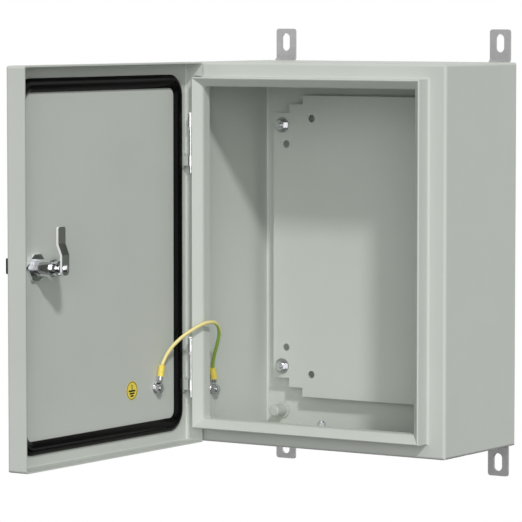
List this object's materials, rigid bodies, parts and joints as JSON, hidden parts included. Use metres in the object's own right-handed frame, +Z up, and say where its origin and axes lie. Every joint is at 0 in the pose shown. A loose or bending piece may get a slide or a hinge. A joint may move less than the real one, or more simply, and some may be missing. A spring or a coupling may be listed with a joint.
{
  "type": "wall-mount electrical cabinet",
  "caption": "Wall-mount sheet-steel cabinet with a hinged, gasketed door on a cam lock, a folded rain rim, a mounting plate, wall brackets and an earth lead.",
  "frame": {"origin": "centre of the four wall-fixing slots, on the wall plane", "axes": "+Z up, +Y into the wall, the front faces -Y, +X to the right seen from the front"},
  "size_m": [0.3468, 0.4662, 0.468],
  "materials": {
    "paint": "fine-textured light grey powder coat",
    "plate_paint": "smooth light grey paint",
    "cap_grey": "satin grey",
    "zinc": "bright zinc plating",
    "bracket_zinc": "dull zinc plating",
    "earth_zinc": "grey zinc plating",
    "lock_chrome": "polished",
    "cam_steel": "nickel plating",
    "foam": "matt foamed seal",
    "sleeve_yellow": "soft vinyl",
    "lead_insulation": "green and yellow insulation",
    "key_steel": "plain",
    "key_black": "moulded"
  },
  "bodies": {
    "cabinet": {"body_shell": "paint", "mounting_plate": "plate_paint", "bracket_caps": "cap_grey", "gland_plate": "paint", "gland_gasket": "foam", "wall_lead_sleeve": "sleeve_yellow", "earth_lead": "lead_insulation", "plate_studs": "zinc", "plate_spacers": "zinc", "plate_washers": "zinc", "plate_nuts": "zinc", "bracket_top_left": "bracket_zinc", "bracket_top_right": "bracket_zinc", "bracket_bottom_left": "bracket_zinc", "bracket_bottom_right": "bracket_zinc", "bracket_bolts": "bracket_zinc", "gland_studs": "zinc", "gland_nuts": "zinc", "hinge_body_leaf_upper": "zinc", "hinge_body_leaf_lower": "zinc", "hinge_pin_upper": "zinc", "hinge_pin_lower": "zinc", "wall_earth_stud": "earth_zinc", "wall_earth_washer": "earth_zinc", "wall_earth_lug": "earth_zinc", "wall_earth_nut": "earth_zinc"},
    "door": {"door_panel": "paint", "door_gasket": "foam", "door_lead_sleeve": "sleeve_yellow", "lock_barrel": "lock_chrome", "lock_nut": "lock_chrome", "hinge_door_leaf_upper": "zinc", "hinge_door_leaf_lower": "zinc", "door_earth_stud": "earth_zinc", "door_earth_washer": "earth_zinc", "door_earth_lug": "earth_zinc", "door_earth_nut": "earth_zinc"},
    "lock": {"lock_plug": "lock_chrome", "lock_cam": "cam_steel", "lock_cam_bolt": "zinc", "lock_key_blade": "key_steel", "lock_key_bow": "key_black"}
  },
  "joints": [
    {"name": "door_hinge", "type": "hinge", "parent": "cabinet", "child": "door", "pos_m": [-0.1465, -0.1647, 0], "axis": [0, 0, -1], "range_deg": [-90, 15], "deforming": ["earth_lead"]},
    {"name": "lock_turn", "type": "hinge", "parent": "door", "child": "lock", "pos_m": [-0.15, -0.4222, 0], "axis": [1, 0, 0], "range_deg": [0, 90]}
  ]
}
